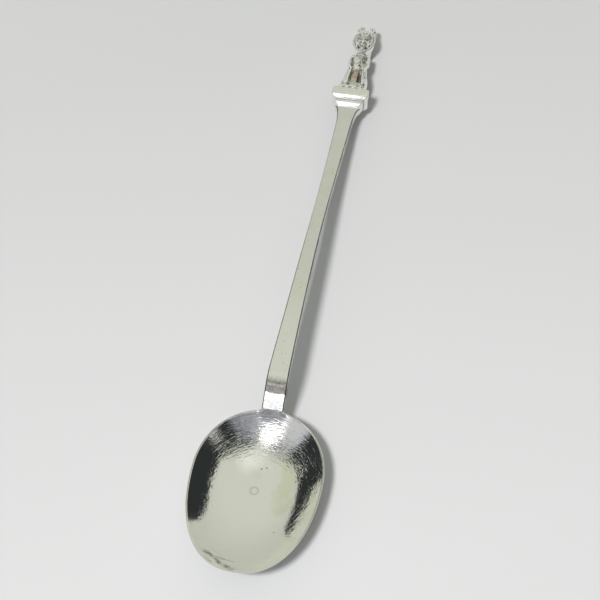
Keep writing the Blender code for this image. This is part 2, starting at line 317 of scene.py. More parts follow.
def stemMaterial():
    material, wire, shader, place = startMaterial("polishedStem")
    wear = groupNode(wire, handlingWear, Vector=place, Dent_Scale=300.0, Smudge_Scale=180.0,
                     Gloss_Low=0.13, Gloss_High=0.26)
    lines = groupNode(wire, hairScratches, Vector=place, Scale=1400.0, Stretch=10.0, Turn=1.3,
                      Waver=0.5)
    colour = tarnished(wire, wear, stemWear["tarnish"])
    specks = wire.ramp(wire.noise(place, stemWear["speckScale"], 1.0, 0.5), *stemWear["speckAt"])
    colour = wire.mix(wire.calc("MULTIPLY", specks, stemWear["speckShare"]), colour, silver["dark"])
    along = wire.calc("SUBTRACT", wire.split(place)[1], heelY)
    toned = wire.ramp(along, *stemWear["tonedAlong"], 0.0, stemWear["toned"])
    colour = wire.mix(toned, colour, silver["dark"])
    # a painted dark reflection in a band across the neck, with a ragged lower edge
    ragged = wire.calc("ADD", along, wire.drift(place, stemWear["neckReflectionScale"], 3.0, 0.6,
                                                stemWear["neckReflectionDrift"]))
    neckReflection = wire.calc("MULTIPLY", wire.ramp(ragged, *stemWear["neckReflectionStart"]),
                      wire.ramp(ragged, *stemWear["neckReflectionEnd"]))
    colour = wire.mix(wire.calc("MULTIPLY", neckReflection, stemWear["neckReflection"]), colour, silver["dark"])
    wire.plug(shader.inputs["Base Color"], colour)
    polish = wire.ramp(along, *stemWear["neckAlong"], stemWear["neckGloss"], 1.0)
    wire.plug(shader.inputs["Roughness"], wire.calc("MULTIPLY", wear.outputs["Roughness"], polish))
    soft = bumpFrom(wire, wear.outputs["Height"], stemWear["dentDepth"])
    fine = bumpFrom(wire, lines.outputs["Height"], stemWear["lineDepth"], soft)
    wire.plug(shader.inputs["Normal"], fine)
    return material


# places are metres from the middle of the widest line
bowlWear = dict(tarnish=0.45, dentDepth=0.000028, rippleScale=1600.0, rippleDepth=0.0000085,
                hairDepth=0.0000008, swirlScale=2600.0, swirlDepth=0.000038, swirlTurn=0.0020,
                swirlSink=0.3, swirlAlong=(0.0015, 0.006), tornPlace=(0.0069, 0.0037, 0.003),
                tornShape=(1.0, 0.7, 1.0), tornAt=(0.0023, 0.0006), torn=5.0)

bowlMarks = dict(
    blooms=[((0.0047, 0.0015, 0.0), (0.0024, 0.0070), (0.80, 0.82, 0.64, 1), 0.7),
            ((-0.0005, 0.0048, 0.0), (0.0030, 0.0022), (1.0, 1.0, 0.98, 1), 0.8)],
    bloomScale=420.0, bloomDrift=0.006, bloomCore=0.2,
    pits=[((-0.0002, 0.0037, 0.0), 0.00026), ((0.0006, 0.0040, 0.0), 0.00024),
          ((0.0044, -0.0080, 0.0), 0.00018)], pitCore=0.3, pit=0.55,
    ringPlace=(-0.0006, -0.0004, 0.0), ringRadius=0.00066, ringAt=(0.00034, 0.00004), ring=0.2,
    foldScale=650.0, foldAt=(0.36, 0.58), foldLeast=0.25, fold=0.85)


def markedColour(wire, place, centred, colour):
    # clouded blooms, pits, a ring left by a drop, and painted shade in the folds near the tip
    flat = wire.vector("MULTIPLY", centred, (1.0, 1.0, 0.0))
    wander = wire.drift(place, bowlMarks["bloomScale"], 3.0, 0.6, bowlMarks["bloomDrift"])
    for markPlace, (across, along), tone, strength in bowlMarks["blooms"]:
        offset = wire.vector("MULTIPLY", wire.vector("SUBTRACT", flat, markPlace),
                             (1.0, across / along, 1.0))
        away = wire.calc("ADD", wire.vector("LENGTH", offset), wander)
        bloom = wire.ramp(away, across, across * bowlMarks["bloomCore"])
        colour = wire.mix(wire.calc("MULTIPLY", bloom, strength), colour, tone)
    for markPlace, size in bowlMarks["pits"]:
        away = wire.vector("DISTANCE", flat, markPlace)
        pit = wire.ramp(away, size, size * bowlMarks["pitCore"], 0.0, bowlMarks["pit"])
        colour = wire.mix(pit, colour, silver["dark"])
    away = wire.vector("DISTANCE", flat, bowlMarks["ringPlace"])
    away = wire.calc("ABSOLUTE", wire.calc("SUBTRACT", away, bowlMarks["ringRadius"]))
    ring = wire.ramp(away, *bowlMarks["ringAt"], 0.0, bowlMarks["ring"])
    colour = wire.mix(ring, colour, silver["dark"])
    # painted shade: darker along the folds, in patches
    fold = wire.node("ShaderNodeAttribute", attribute_name="fold").outputs["Fac"]
    patchy = wire.ramp(wire.noise(place, bowlMarks["foldScale"], 3.0, 0.6), *bowlMarks["foldAt"],
                       bowlMarks["foldLeast"], 1.0)
    foldShade = wire.calc("MULTIPLY", wire.calc("MULTIPLY", fold, patchy), bowlMarks["fold"])
    return wire.mix(foldShade, colour, silver["dark"])


def bowlMaterial():
    material, wire, shader, place = startMaterial("rubbedBowl")
    wear = groupNode(wire, handlingWear, Vector=place, Dent_Scale=620.0, Smudge_Scale=170.0,
                     Gloss_Low=0.01, Gloss_High=0.028)
    lines = groupNode(wire, hairScratches, Vector=place, Scale=900.0, Stretch=9.0, Turn=1.1,
                      Waver=1.2)
    centred = wire.vector("SUBTRACT", place, (0.0, widestY, 0.0))
    colour = markedColour(wire, place, centred, tarnished(wire, wear, bowlWear["tarnish"]))
    wire.plug(shader.inputs["Base Color"], colour)
    wire.plug(shader.inputs["Roughness"], wear.outputs["Roughness"])
    soft = bumpFrom(wire, wear.outputs["Height"], bowlWear["dentDepth"])
    # a fine ripple, coarser on one torn patch
    ripple = wire.noise(place, bowlWear["rippleScale"], 1.0, 0.4, 1.5)
    offset = wire.vector("MULTIPLY", wire.vector("SUBTRACT", centred, bowlWear["tornPlace"]),
                         bowlWear["tornShape"])
    torn = wire.ramp(wire.vector("LENGTH", offset), *bowlWear["tornAt"], 1.0, bowlWear["torn"])
    soft = bumpFrom(wire, wire.calc("MULTIPLY", ripple, torn), bowlWear["rippleDepth"], soft)
    # strokes that run round the bowl: squeeze the place along the circle round its middle
    x, y, z = wire.split(centred)
    turned = wire.calc("MULTIPLY", wire.calc("ARCTAN2", y, x), bowlWear["swirlTurn"])
    swirl = wire.combine(turned, wire.vector("LENGTH", centred),
                         wire.calc("MULTIPLY", z, bowlWear["swirlSink"]))
    strokes = wire.calc("MULTIPLY", wire.noise(swirl, bowlWear["swirlScale"], 2.0, 0.6, 1.2),
                        wire.ramp(y, *bowlWear["swirlAlong"]))
    soft = bumpFrom(wire, strokes, bowlWear["swirlDepth"], soft)
    fine = bumpFrom(wire, lines.outputs["Height"], bowlWear["hairDepth"], soft)
    wire.plug(shader.inputs["Normal"], fine)
    return material


castWear = dict(tarnish=0.4, patchScale=1500.0, patinaAt=(0.25, 0.6, 0.35, 0.95),
                tarnishAndShadeAt=(0.2, 0.6, 0.45, 0.8), darkRoughness=0.35, dentDepth=0.00002)


def castMaterial():
    material, wire, shader, place = startMaterial("castFinial")
    wear = groupNode(wire, handlingWear, Vector=place, Dent_Scale=900.0, Smudge_Scale=500.0,
                     Gloss_Low=0.12, Gloss_High=0.28)
    hollow = wire.node("ShaderNodeAttribute", attribute_name="recess").outputs["Fac"]
    patina = wire.node("ShaderNodeAttribute", attribute_name="patina").outputs["Fac"]
    patchy = wire.noise(place, castWear["patchScale"], 3.0, 0.6)
    colour = tarnished(wire, wear, castWear["tarnish"])
    stained = wire.calc("MULTIPLY", patina, wire.ramp(patchy, *castWear["patinaAt"]))
    colour = wire.mix(stained, colour, silver["brown"])
    # tarnish with painted shade: darker in the hollows and along the carved grooves, in patches
    dark = wire.calc("MULTIPLY", hollow, wire.ramp(patchy, *castWear["tarnishAndShadeAt"]))
    colour = wire.mix(dark, colour, silver["dark"])
    wire.plug(shader.inputs["Base Color"], colour)
    dull = wire.calc("MULTIPLY", dark, castWear["darkRoughness"])
    wire.plug(shader.inputs["Roughness"], wire.calc("ADD", wear.outputs["Roughness"], dull))
    wire.plug(shader.inputs["Normal"], bumpFrom(wire, wear.outputs["Height"], castWear["dentDepth"]))
    return material


stemSilver = stemMaterial()
bowlSilver = bowlMaterial()
castSilver = castMaterial()
print("materials ready")


def rimOffset(angle, inset):
    c, s = math.cos(angle), math.sin(angle)
    power = bowl["heelRoundness"] if s > 0 else bowl["toeRoundness"]
    reach = (bowl["widestFromHeel"] if s > 0 else toeReach) - inset
    size = (abs(c / (halfBowl - inset)) ** power + abs(s / reach) ** power) ** (-1 / power)
    return size * c, size * s, size * s / reach


def rimHeight(along):
    end = bowl["rimHeel"] if along > 0 else bowlHigh.z
    return bowl["rimSide"] + (end - bowl["rimSide"]) * along * along


def heelTab(x, along):
    # the rim rises a little where the stem is joined to it
    return bowl["tab"] * math.exp(-(x / bowl["tabHalf"]) ** bowl["tabEdge"]) if along > 0 else 0.0


def wallShare(ring):
    return max(0.0, (ring - bowl["restPatch"]) / (1 - bowl["restPatch"])) ** bowl["wall"]


def undersideHeight(x, y):
    dy = y - widestY
    power = bowl["heelRoundness"] if dy > 0 else bowl["toeRoundness"]
    reach = bowl["widestFromHeel"] if dy > 0 else toeReach
    ring = (abs(x / halfBowl) ** power + abs(dy / reach) ** power) ** (1 / power)
    return rimHeight(dy / reach / max(ring, 1e-6)) * wallShare(min(ring, 1.0))


def creaseDepth(x, y):
    # two shallow folds where the tip has been knocked
    deepest = 0.0
    here = Vector((x, y - widestY)) / mm
    for line, width, depth in bowl["creases"]:
        for first, last in zip(line, line[1:]):
            start, step = Vector(first), Vector(last) - Vector(first)
            t = min(1.0, max(0.0, (here - start).dot(step) / step.length_squared))
            away = (here - start - step * t).length
            deepest = max(deepest, depth * math.exp(-(away / width) ** 2))
    return deepest * mm


def makeBowl():
    vertices = []
    sides, lip, lipRound = bowl["sides"], bowl["lip"], bowl["lipRound"]

    def addRing(ring, inset, floor, drop=0.0):
        for i in range(sides):
            x, dy, along = rimOffset(2 * math.pi * i / sides, inset)
            top = rimHeight(along) + heelTab(x, along) * ring ** bowl["tabFade"]
            z = floor + (top - floor) * wallShare(ring) - drop
            px, py = x * ring, widestY + dy * ring
            vertices.append((px, py, max(0.0, z - creaseDepth(px, py))))

    # underside from the middle outwards, rounded lip, then the inside back to the middle
    levels = [(i / bowl["rings"]) ** bowl["ringCrowding"] for i in range(1, bowl["rings"])]
    quarter = [math.pi / 2 * i / (bowl["lipTurns"] - 1) for i in range(bowl["lipTurns"])]
    for level in levels:
        addRing(level, 0.0, 0.0)
    for angle in quarter:
        addRing(1.0, lipRound * (1 - math.cos(angle)), 0.0, lipRound * (1 - math.sin(angle)))
    for angle in reversed(quarter):
        addRing(1.0, lip - lipRound * (1 - math.cos(angle)), 0.0, lipRound * (1 - math.sin(angle)))
    for level in reversed(levels):
        addRing(level, lip, bowl["sheet"])
    rows = len(vertices) // sides
    faces = bridgeRows(rows, sides)
    for row, z in ((0, 0.0), (rows - 1, bowl["sheet"])):
        centre = len(vertices)
        vertices.append((0.0, widestY, z))
        for i in range(sides):
            faces.append((row * sides + i, row * sides + (i + 1) % sides, centre))
    piece = meshObject("bowl_dish", vertices, faces, bowlSilver)
    deepest = max(depth for _, _, depth in bowl["creases"]) * mm
    addValues(piece.data, "fold", [creaseDepth(x, y) / deepest for x, y, z in vertices])
    return piece


bowlPiece = makeBowl()
print("bowl made")


stem = dict(
    neckWidth=3.7 * mm, waistWidth=2.44 * mm, footWidth=3.0 * mm, flareWidth=4.9 * mm,
    crest=9.3 * mm, endHeight=4.5 * mm, neckThickness=2.05 * mm, endThickness=1.55 * mm,
    intoCollar=0.12 * mm, stations=260, slopeSpan=0.2 * mm, neckLean=0.7, leanBy=3.0 * mm,
    chamfer=0.17 * mm, chamferDepth=0.78, frontPoints=8, backPoints=5)
# the tongue is the stretch soldered under the heel, its face sunk into the bowl's wall
tongue = dict(
    length=5.4 * mm, steps=40, tip=0.75 * mm, sunk=0.12 * mm, tableGap=0.05 * mm,
    edge=0.2 * mm, least=0.05)

stemEndY = collarLow.y + stem["intoCollar"]
stemLength = stemEndY - heelY
finialTilt = math.radians(4.0)


def stemTop():
    end = stemLength
    heel = bowl["rimHeel"]
    crest = stem["crest"]
    return smoothThrough([
        (-0.3 * mm, heel + 0.47 * mm), (1.0 * mm, heel + 1.37 * mm), (1.8 * mm, heel + 1.92 * mm),
        (2.1 * mm, heel + 2.11 * mm), (3.25 * mm, heel + 2.76 * mm), (3.9 * mm, heel + 3.11 * mm),
        (5.8 * mm, crest - 0.14 * mm), (8.5 * mm, crest), (16.5 * mm, crest),
        (26.0 * mm, crest - 0.2 * mm),
        (end - 33.0 * mm, crest - 0.85 * mm), (end - 18.0 * mm, stem["endHeight"] + 1.9 * mm),
        (end - 4.0 * mm, stem["endHeight"] + 0.28 * mm), (end, stem["endHeight"])])


def stemHalfWidth():
    end = stemLength
    neck, waist, foot = stem["neckWidth"] / 2, stem["waistWidth"] / 2, stem["footWidth"] / 2
    return smoothThrough([
        (0.0, neck), (5.0 * mm, neck - 0.05 * mm), (16.5 * mm, 0.5 * neck + 0.5 * waist),
        (26.0 * mm, 0.22 * neck + 0.78 * waist), (end - 33.0 * mm, waist),
        (end - 23.0 * mm, waist), (end - 4.0 * mm, foot), (end - 1.6 * mm, foot + 0.24 * mm),
        (end - 0.6 * mm, foot + 0.5 * mm), (end, stem["flareWidth"] / 2)])


def strapSection(half, thickness, edge):
    # outline of the strap as (x, depth below the front face): flat chamfers in front, round behind
    deep, front, back = edge * stem["chamferDepth"], stem["frontPoints"], stem["backPoints"]
    outline = [(-half + edge + (2 * half - 2 * edge) * i / front, 0.0) for i in range(front + 1)]
    outline += [(half - edge * 0.5, -deep * 0.5), (half, -deep), (half, -thickness * 0.5)]
    quarter = [math.pi / 2 * i / back for i in range(back + 1)]
    for side, angles in ((1, quarter), (-1, reversed(quarter))):
        outline += [(side * (half - edge + edge * math.cos(angle)),
                     -thickness + edge - edge * math.sin(angle)) for angle in angles]
    outline += [(-half, -thickness * 0.5), (-half, -deep), (-half + edge * 0.5, -deep * 0.5)]
    return outline


def tongueRow(share):
    # share is 1 at the tongue's tip and 0 at the heel
    y = heelY - share * tongue["length"]
    middle = undersideHeight(0, y)
    surface = middle + tongue["sunk"]
    half = stem["neckWidth"] / 2 * math.sqrt(max(tongue["least"], 1 - share ** 4))
    thick = stem["neckThickness"] + (tongue["tip"] - stem["neckThickness"]) * share
    thick = min(thick, surface - tongue["tableGap"])
    row = []
    for x, z in strapSection(half, thick, min(tongue["edge"], thick / 3)):
        lift = undersideHeight(x, y) - middle if z > -thick / 2 else 0.0
        row.append((x, y, surface + z + lift))
    return row


def strapRow(along, top, width):
    span = stem["slopeSpan"]
    slope = math.atan2(top(along + span) - top(along - span), 2 * span)
    if along < span:
        slope = stem["neckLean"]
    elif along > stemLength - span:
        slope = -finialTilt
    lean = slope * min(1.0, max(0.0, along) / stem["leanBy"])
    thinning = (stem["endThickness"] - stem["neckThickness"]) * along / stemLength
    section = strapSection(width(along), stem["neckThickness"] + thinning, stem["chamfer"])
    return [(x, heelY + along - z * math.sin(lean), top(along) + z * math.cos(lean))
            for x, z in section]


def makeStem():
    top, width = stemTop(), stemHalfWidth()
    vertices = []
    for i in range(tongue["steps"]):
        row = tongueRow(1 - i / tongue["steps"])
        vertices += row
    count = len(row)
    for i in range(stem["stations"]):
        along = (stemLength + bowl["lip"]) * i / (stem["stations"] - 1) - bowl["lip"]
        vertices += strapRow(along, top, width)
    faces = closedTube(len(vertices) // count, count)
    return meshObject("stem_strap", vertices, faces, stemSilver, 25)


stemPiece = makeStem()
print("stem made")


axisPoint = Vector((0.0, stemEndY, stem["endHeight"] - stem["endThickness"] / 2))
axisTurn = Matrix.Rotation(-finialTilt, 4, "X")
finialPlace = Matrix.Translation(axisPoint) @ axisTurn


# widths across, the rest along the finial's axis or away from the strap's faces
tiers = dict(
    collar_step=dict(width=5.3 * mm, start=-0.05 * mm, end=1.2 * mm, front=0.85 * mm,
                     back=0.05 * mm, slope=0.95 * mm),
    capital_step=dict(width=7.0 * mm, start=1.18 * mm, end=3.45 * mm, front=1.8 * mm,
                      back=0.15 * mm, slope=0.68 * mm))
moulding = dict(steps=6, depth=0.76, bulge=1.2, edge=0.1 * mm, edgeSteps=3, cornerSteps=4)
seatY = tiers["capital_step"]["end"]


def tierOutline(half, high, low):
    edge, steps = moulding["edge"], moulding["cornerSteps"]
    outline = []
    for cx, cz, fromAngle in ((half - edge, high - edge, 0), (-half + edge, high - edge, 90),
                              (-half + edge, -low + edge, 180), (half - edge, -low + edge, 270)):
        for i in range(steps + 1):
            angle = math.radians(fromAngle + 90 * i / steps)
            outline.append((cx + edge * math.cos(angle), cz + edge * math.sin(angle)))
    return outline


def makeTier(name, tier):
    # a tier of the capital: a slanted, slightly convex moulding towards the bowl, then a block
    start, end, slope, edge = tier["start"], tier["end"], tier["slope"], moulding["edge"]
    sections = []
    for i in range(moulding["steps"] + 1):
        t = i / moulding["steps"]
        sections.append((start + slope * t, slope * moulding["depth"] * (1 - t) ** moulding["bulge"]))
    sections.append((end - edge, 0.0))
    for i in range(1, moulding["edgeSteps"] + 1):       # softened far edge
        angle = math.pi / 2 * i / moulding["edgeSteps"]
        sections.append((end - edge * (1 - math.sin(angle)), edge * (1 - math.cos(angle))))
    halfStrap = stem["endThickness"] / 2
    vertices = []
    for y, inset in sections:
        ring = tierOutline(tier["width"] / 2 - inset, halfStrap + tier["front"] - inset,
                           halfStrap + tier["back"])
        vertices += [(x, y, z) for x, z in ring]
    faces = closedTube(len(sections), len(ring))
    piece = meshObject(name, vertices, faces, castSilver, 24)
    piece.data.transform(finialPlace)
    return piece


collarPiece, capitalPiece = [makeTier(name, tier) for name, tier in tiers.items()]
print("capital made")


def addBall(builder, centre, radii, detail=4):
    made = bmesh.ops.create_icosphere(builder, subdivisions=detail, radius=1.0)
    place = Matrix.Translation(Vector(centre)) @ Matrix.Diagonal((*radii, 1.0))
    bmesh.ops.transform(builder, matrix=place, verts=made["verts"])


def addLimb(builder, points, radii, count=12):
    # a soft tube through a few points, made of overlapping balls
    for i in range(len(points) - 1):
        first, last = Vector(points[i]), Vector(points[i + 1])
        for j in range(count + 1):
            t = j / count
            radius = radii[i] + (radii[i + 1] - radii[i]) * t
            addBall(builder, first.lerp(last, t), (radius, radius, radius), 2)


beast = dict(skinStep=0.075, seat=0.05 * mm, smoothTurns=26, smoothPull=0.7, grooveFlat=0.45,
             grooveFacing=-0.2, hollowFrom=0.02, hollowAt=0.05, hollowTarnishAndShade=0.8, grooveTarnishAndShade=1.1,
             fieldPlace=(0.05, 4.3), fieldSize=(0.95, 2.0), fieldEdge=1.15, fieldFade=0.25)


def beastBody(builder):
    # millimetres: x across, y up from the seat, z to the front
    addLimb(builder, [(-1.80, 0.72, 1.10), (1.80, 0.72, 1.10)], (0.78, 0.78), 20)
    addBall(builder, (0, 0.80, 0.50), (2.55, 0.85, 1.70))
    addBall(builder, (0, 2.4, 0.35), (1.90, 1.9, 1.35))
    addBall(builder, (0, 6.0, 0.25), (1.45, 4.4, 1.25))
    addBall(builder, (0, 5.4, -0.15), (2.00, 5.2, 0.95))
    addBall(builder, (-0.50, 8.5, 0.80), (1.20, 2.1, 1.15))
    addBall(builder, (0, 10.5, 0.25), (1.50, 1.2, 1.20))
    addBall(builder, (0, 13.6, -0.75), (1.65, 2.7, 2.05))
    addBall(builder, (0.0, 4.2, 1.3), (1.15, 2.2, 0.85))
    for side in (-1, 1):
        addBall(builder, (1.72 * side, 2.9, 0.45), (0.88, 2.5, 1.45))
        addBall(builder, (1.55 * side, 2.2, 1.10), (0.95, 1.5, 1.15))
        addLimb(builder, [(1.42 * side, 10.3, 0.75), (1.72 * side, 8.0, 1.05), (1.20 * side, 5.9, 2.0)],
                (0.60, 0.48, 0.42))
        addLimb(builder, [(1.55 * side, 3.8, 1.0), (1.20 * side, 5.3, 1.75), (1.38 * side, 3.4, 1.75),
                          (1.55 * side, 1.3, 1.6)], (0.85, 0.60, 0.50, 0.60))
        addBall(builder, (1.10 * side, 5.7, 2.25), (0.42, 0.38, 0.34))


def beastHead(builder):
    addBall(builder, (0, 14.2, 0.9), (2.05, 3.1, 2.0))
    addBall(builder, (0, 15.6, 1.9), (1.25, 1.2, 0.95))
    addBall(builder, (0.05, 12.6, 2.75), (0.60, 0.75, 0.70))
    addBall(builder, (0.05, 13.1, 3.35), (0.34, 0.40, 0.30), 3)
    addBall(builder, (0.05, 11.35, 2.2), (0.60, 0.40, 0.55))
    for side in (-1, 1):
        addBall(builder, (1.05 * side, 12.5, 2.2), (0.62, 0.75, 0.60))
        addLimb(builder, [(0.22 * side, 14.0, 2.95), (0.70 * side, 14.75, 2.95),
                          (1.35 * side, 14.6, 2.45)], (0.20, 0.26, 0.20))
        addLimb(builder, [(1.00 * side, 16.4, 1.3), (1.45 * side, 17.5, 1.3),
                          (1.15 * side, 18.3, 1.35)], (0.60, 0.46, 0.36))
        addBall(builder, (0.80 * side, 18.2, 1.4), (0.34, 0.26, 0.28), 3)
        addBall(builder, (0.78 * side, 13.85, 2.75), (0.26, 0.22, 0.22), 3)


ruffLine = [(1.84 * math.cos(a), 14.2 + 2.54 * math.sin(a), 2.0)
            for a in (math.radians(-70 + 320 * i / 24) for i in range(25))]
beastGrooves = [                                # points, radius, depth, all in millimetres
    (ruffLine, 0.15, 0.30),
    ([(0.95, 10.3, 1.6), (0.98, 8.2, 1.9), (0.72, 6.6, 2.0)], 0.30, 0.55),
    ([(0.95, 5.2, 2.1), (0.98, 3.4, 1.9), (1.15, 2.0, 1.9)], 0.26, 0.50),
    ([(-1.52, 9.6, 1.4), (-1.30, 8.0, 1.8), (-0.95, 6.6, 2.0)], 0.20, 0.26),
    ([(-0.75, 5.6, 2.0), (-0.92, 3.4, 1.9), (-0.80, 2.2, 1.9), (0.7, 2.1, 1.9)], 0.13, 0.20),
    ([(-2.1, 4.6, 1.0), (-1.95, 3.0, 1.5), (-1.75, 1.6, 1.9)], 0.16, 0.14),
    ([(-1.5, 10.9, 1.2), (-0.6, 10.65, 1.7), (0.5, 10.55, 1.8), (1.5, 10.9, 1.2)], 0.26, 0.34),
    ([(-0.62, 11.55, 2.4), (0.05, 11.45, 2.7), (0.72, 11.55, 2.4)], 0.15, 0.24),
    ([(-1.25, 14.15, 2.4), (-0.75, 13.55, 2.8), (-0.35, 13.7, 2.9)], 0.13, 0.22),
    ([(1.25, 14.15, 2.4), (0.75, 13.55, 2.8), (0.35, 13.7, 2.9)], 0.13, 0.24),
    ([(-0.5, 15.5, 2.7), (0.0, 15.0, 2.9), (0.5, 15.5, 2.7)], 0.12, 0.12),
    ([(-0.55, 12.7, 3.0), (-0.75, 11.9, 2.8)], 0.12, 0.16),
    ([(0.6, 12.7, 3.0), (0.8, 11.9, 2.8)], 0.12, 0.18),
    ([(-0.9, 9.4, 1.7), (-0.5, 8.6, 1.9), (0.1, 9.3, 1.9)], 0.13, 0.10),
    ([(-1.0, 7.9, 1.8), (-0.5, 7.2, 1.9), (0.2, 7.9, 1.9)], 0.13, 0.10),
    ([(-2.0, 1.62, 2.2), (0.0, 1.52, 2.3), (2.0, 1.62, 2.2)], 0.16, 0.16)]


def carve(points, normals):
    # pushes the skin in along each groove and returns how deep every point went
    depths = np.zeros(len(points))
    for line, radius, depth in beastGrooves:
        nearest = np.full(len(points), 1e9)
        for first, last in zip(line, line[1:]):
            start, step = np.array(first), np.array(last) - np.array(first)
            t = np.clip(((points - start) @ step) / (step @ step), 0, 1)
            nearest = np.minimum(nearest, np.linalg.norm(
                (points - start - t[:, None] * step) * (1, 1, beast["grooveFlat"]), axis=1))
        depths = np.maximum(depths, depth * np.exp(-(nearest / radius) ** 2))
    return depths * (normals[:, 2] > beast["grooveFacing"])


def readVectors(source, name):
    values = np.empty(len(source) * 3)
    source.foreach_get(name, values)
    return values.reshape(-1, 3)


def findHollows(mesh):
    # how far each point lies below a smoothed copy of the skin
    count = len(mesh.vertices)
    points = readVectors(mesh.vertices, "co")
    normals = readVectors(mesh.vertex_normals, "vector")
    edges = np.empty(len(mesh.edges) * 2, dtype=int)
    mesh.edges.foreach_get("vertices", edges)
    edges = edges.reshape(-1, 2)
    degree = np.bincount(edges.ravel(), minlength=count)[:, None]
    smooth = points.copy()
    for _ in range(beast["smoothTurns"]):
        total = np.zeros_like(smooth)
        for axis in range(3):
            total[:, axis] = (np.bincount(edges[:, 0], smooth[edges[:, 1], axis], count)
                              + np.bincount(edges[:, 1], smooth[edges[:, 0], axis], count))
        smooth += beast["smoothPull"] * (total / degree - smooth)
    return points, normals, ((smooth - points) * normals).sum(axis=1)


def makeBeast():
    builder = bmesh.new()
    beastBody(builder)
    beastHead(builder)
    mesh = bpy.data.meshes.new("beast")
    builder.to_mesh(mesh)
    builder.free()
    piece = bpy.data.objects.new("seated_beast", mesh)
    bpy.context.scene.collection.objects.link(piece)
    skin = piece.modifiers.new("skin", "REMESH")
    skin.mode = "VOXEL"
    skin.voxel_size = beast["skinStep"]
    skin.use_smooth_shade = True
    relax = piece.modifiers.new("relax", "SMOOTH")
    relax.factor = 0.5
    relax.iterations = 3
    bakeModifiers(piece)
    mesh = piece.data
    points, normals, _ = findHollows(mesh)
    depths = carve(points, normals)
    points = points - normals * depths[:, None]
    mesh.vertices.foreach_set("co", points.ravel())
    mesh.update()
    points, normals, hollow = findHollows(mesh)
    field = np.hypot((points[:, 0] - beast["fieldPlace"][0]) / beast["fieldSize"][0],
                     (points[:, 1] - beast["fieldPlace"][1]) / beast["fieldSize"][1])
    sunk = (hollow - beast["hollowFrom"]) / beast["hollowAt"]
    # tarnish with painted shade: darker where the skin is sunk and along the carved grooves
    addValues(mesh, "recess", sunk * beast["hollowTarnishAndShade"] + depths * beast["grooveTarnishAndShade"])
    addValues(mesh, "patina", (beast["fieldEdge"] - field) / beast["fieldFade"] * (normals[:, 2] > 0))
    mesh.transform(finialPlace @ Matrix.Translation((0, seatY - beast["seat"], 0))
                   @ Matrix.Scale(mm, 4))
    for vertex in mesh.vertices:                # the back of the head lies flat on the table
        vertex.co.z = max(vertex.co.z, 0.0)
        vertex.co.y = min(vertex.co.y, figureHigh.y)
    mesh.materials.clear()
    mesh.materials.append(castSilver)
    mesh.shade_smooth()
    return piece


beastPiece = makeBeast()
print("beast made")


def padRowTree():
    # little rounded pads set along an arc, each a bit different from the next
    tree = bpy.data.node_groups.new("padRow", "GeometryNodeTree")
    face = tree.interface
    face.new_socket("Geometry", in_out="INPUT", socket_type="NodeSocketGeometry")
    face.new_socket("Geometry", in_out="OUTPUT", socket_type="NodeSocketGeometry")
    for label, kind in (("Count", "Int"), ("Seed", "Int"), ("Radius", "Float"), ("From", "Float"),
                        ("Sweep", "Float"), ("Pad Size", "Vector"), ("Spread", "Float"),
                        ("Material", "Material")):
        face.new_socket(label, in_out="INPUT", socket_type="NodeSocket" + kind)
    wire = Wiring(tree)
    given = wire.node("NodeGroupInput").outputs
    arc = wire.node("GeometryNodeCurveArc")
    arc.inputs["Resolution"].default_value = 64
    for label, name in (("Radius", "Radius"), ("Start Angle", "From"), ("Sweep Angle", "Sweep")):
        wire.plug(arc.inputs[label], given[name])
    spots = wire.node("GeometryNodeCurveToPoints", mode="COUNT")
    wire.plug(spots.inputs["Curve"], arc.outputs["Curve"])
    wire.plug(spots.inputs["Count"], given["Count"])
    pad = wire.node("GeometryNodeMeshIcoSphere")
    pad.inputs["Subdivisions"].default_value = 3
    chance = wire.node("FunctionNodeRandomValue", data_type="FLOAT")
    wire.plug(chance.inputs[2], wire.calc("SUBTRACT", 1.0, given["Spread"]))
    wire.plug(chance.inputs[3], wire.calc("ADD", 1.0, given["Spread"]))
    wire.plug(chance.inputs["Seed"], given["Seed"])
    size = wire.vector("SCALE", given["Pad Size"], chance.outputs[1])
    placed = wire.node("GeometryNodeInstanceOnPoints")
    wire.plug(placed.inputs["Points"], spots.outputs["Points"])
    wire.plug(placed.inputs["Instance"], pad.outputs["Mesh"])
    wire.plug(placed.inputs["Rotation"], spots.outputs["Rotation"])
    wire.plug(placed.inputs["Scale"], size)
    made = wire.node("GeometryNodeRealizeInstances")
    wire.plug(made.inputs[0], placed.outputs[0])
    coated = wire.node("GeometryNodeSetMaterial")
    wire.plug(coated.inputs["Geometry"], made.outputs[0])
    wire.plug(coated.inputs["Material"], given["Material"])
    wire.plug(wire.node("NodeGroupOutput").inputs["Geometry"], coated.outputs["Geometry"])
    return tree


padRow = padRowTree()
padRows = dict(                                 # millimetres and degrees, in the figure's own frame
    seat_pads=dict(count=4, seed=3, radius=6.0, start=107, sweep=-34, size=(0.42, 0.42, 0.74),
                   spread=0.12, place=(-0.3, -5.50, 2.2), squash=(1.0, 1.0, 1.0)),
    ruff_outer=dict(count=26, seed=5, radius=2.05, start=-62, sweep=304, size=(0.20, 0.24, 0.34),
                    spread=0.2, place=(0.0, 14.2, 1.75), squash=(1.0, 1.38, 1.0)),
    ruff_inner=dict(count=19, seed=9, radius=1.62, start=-50, sweep=280, size=(0.15, 0.20, 0.30),
                    spread=0.2, place=(0.02, 14.1, 2.25), squash=(1.0, 1.38, 1.0)))


